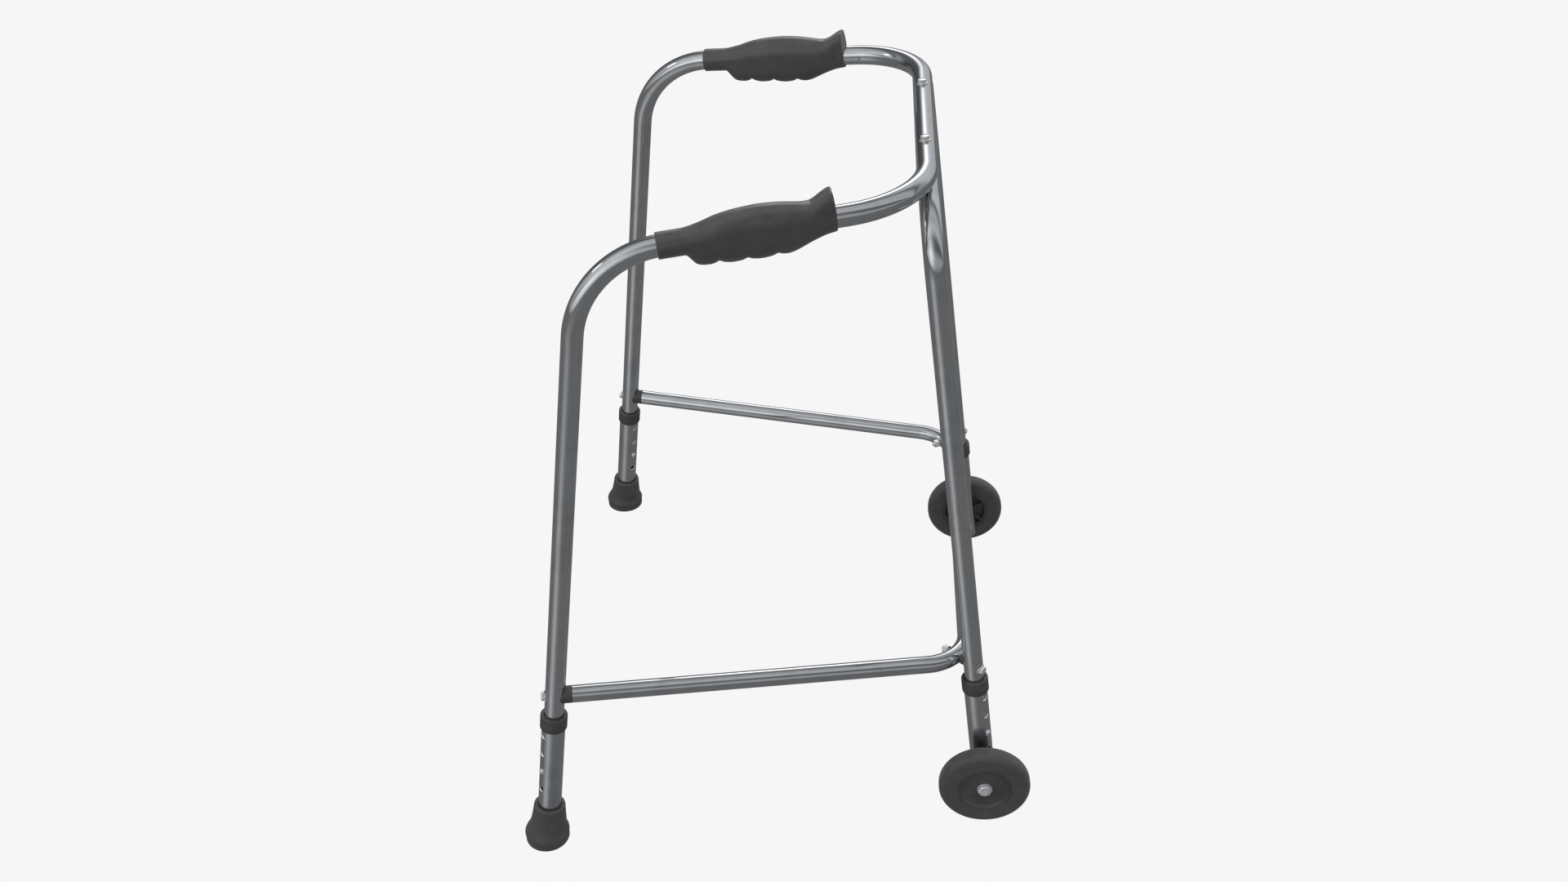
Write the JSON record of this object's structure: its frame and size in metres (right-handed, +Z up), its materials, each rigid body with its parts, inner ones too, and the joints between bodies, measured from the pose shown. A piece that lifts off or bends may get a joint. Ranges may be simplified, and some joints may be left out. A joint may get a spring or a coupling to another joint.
{
  "type": "walking frame",
  "caption": "Bent-tube walking frame with moulded hand grips, lower brace, height-adjustable legs, rubber rear feet and fixed front wheels.",
  "frame": {"origin": "on the floor, at the middle of the plan bounding box", "axes": "+X forward (towards the wheels), +Y to the user's left, +Z up; the frame is symmetric about the XZ plane"},
  "size_m": [0.6624, 0.801, 0.8818],
  "materials": {
    "frame_steel": "satin polished tube",
    "extension_steel": "dull satin tube",
    "grip_rubber": "semi-matt moulded",
    "dark_plastic": "fine texture",
    "foot_rubber": "matt moulded",
    "tyre_rubber": "matt moulded",
    "hub_plastic": "fine texture",
    "bush_plastic": "smooth",
    "spring_steel": "plain spring strip",
    "insert_brass": "turned",
    "zinc_fasteners": "bright zinc plate"
  },
  "bodies": {
    "frame": {"handle_frame": "frame_steel", "front_leg_frame": "frame_steel", "lower_brace": "frame_steel", "grip_left": "grip_rubber", "grip_right": "grip_rubber", "snap_spring_rear_left": "spring_steel", "snap_spring_rear_right": "spring_steel", "snap_spring_front_left": "spring_steel", "snap_spring_front_right": "spring_steel", "snap_buttons_rear_left": "zinc_fasteners", "snap_buttons_rear_right": "zinc_fasteners", "snap_buttons_front_left": "zinc_fasteners", "snap_buttons_front_right": "zinc_fasteners", "brace_caps": "dark_plastic", "brace_inserts": "insert_brass", "brace_rear_bolts": "zinc_fasteners", "brace_rear_washers": "zinc_fasteners", "brace_front_bolts": "zinc_fasteners", "brace_front_washers": "zinc_fasteners", "brace_front_nuts": "zinc_fasteners", "brace_spacers": "dark_plastic", "top_bolts": "zinc_fasteners", "top_washers": "zinc_fasteners", "top_nuts": "zinc_fasteners"},
    "rear_leg_left": {"extension_rear_left": "extension_steel", "collar_rear_left": "dark_plastic", "foot_left": "foot_rubber"},
    "front_leg_left": {"extension_front_left": "extension_steel", "collar_front_left": "dark_plastic", "axle_bolt_left": "zinc_fasteners", "axle_washer_left": "zinc_fasteners", "axle_spacer_left": "zinc_fasteners", "axle_nut_left": "zinc_fasteners", "end_plug_left": "dark_plastic"},
    "wheel_left": {"tyre_left": "tyre_rubber", "hub_left": "hub_plastic", "bush_left": "bush_plastic"},
    "rear_leg_right": {"extension_rear_right": "extension_steel", "collar_rear_right": "dark_plastic", "foot_right": "foot_rubber"},
    "front_leg_right": {"extension_front_right": "extension_steel", "collar_front_right": "dark_plastic", "axle_bolt_right": "zinc_fasteners", "axle_washer_right": "zinc_fasteners", "axle_spacer_right": "zinc_fasteners", "axle_nut_right": "zinc_fasteners", "end_plug_right": "dark_plastic"},
    "wheel_right": {"tyre_right": "tyre_rubber", "hub_right": "hub_plastic", "bush_right": "bush_plastic"}
  },
  "joints": [
    {"name": "rear_height_left", "type": "slide", "parent": "frame", "child": "rear_leg_left", "axis": [-0.1039, 0.0954, -0.99], "range_m": [0, 0.058], "deforming": ["snap_spring_rear_left", "snap_buttons_rear_left"]},
    {"name": "front_height_left", "type": "slide", "parent": "frame", "child": "front_leg_left", "axis": [0.1389, 0.0604, -0.9885], "range_m": [0, 0.058], "deforming": ["snap_spring_front_left", "snap_buttons_front_left"]},
    {"name": "wheel_spin_left", "type": "hinge", "parent": "front_leg_left", "child": "wheel_left", "pos_m": [0.27122, 0.3063, 0.06], "axis": [0, 1, 0], "continuous": true},
    {"name": "rear_height_right", "type": "slide", "parent": "frame", "child": "rear_leg_right", "axis": [-0.1039, -0.0954, -0.99], "range_m": [0, 0.058], "deforming": ["snap_spring_rear_right", "snap_buttons_rear_right"]},
    {"name": "front_height_right", "type": "slide", "parent": "frame", "child": "front_leg_right", "axis": [0.1389, -0.0604, -0.9885], "range_m": [0, 0.058], "deforming": ["snap_spring_front_right", "snap_buttons_front_right"]},
    {"name": "wheel_spin_right", "type": "hinge", "parent": "front_leg_right", "child": "wheel_right", "pos_m": [0.27122, -0.3063, 0.06], "axis": [0, 1, 0], "continuous": true}
  ]
}
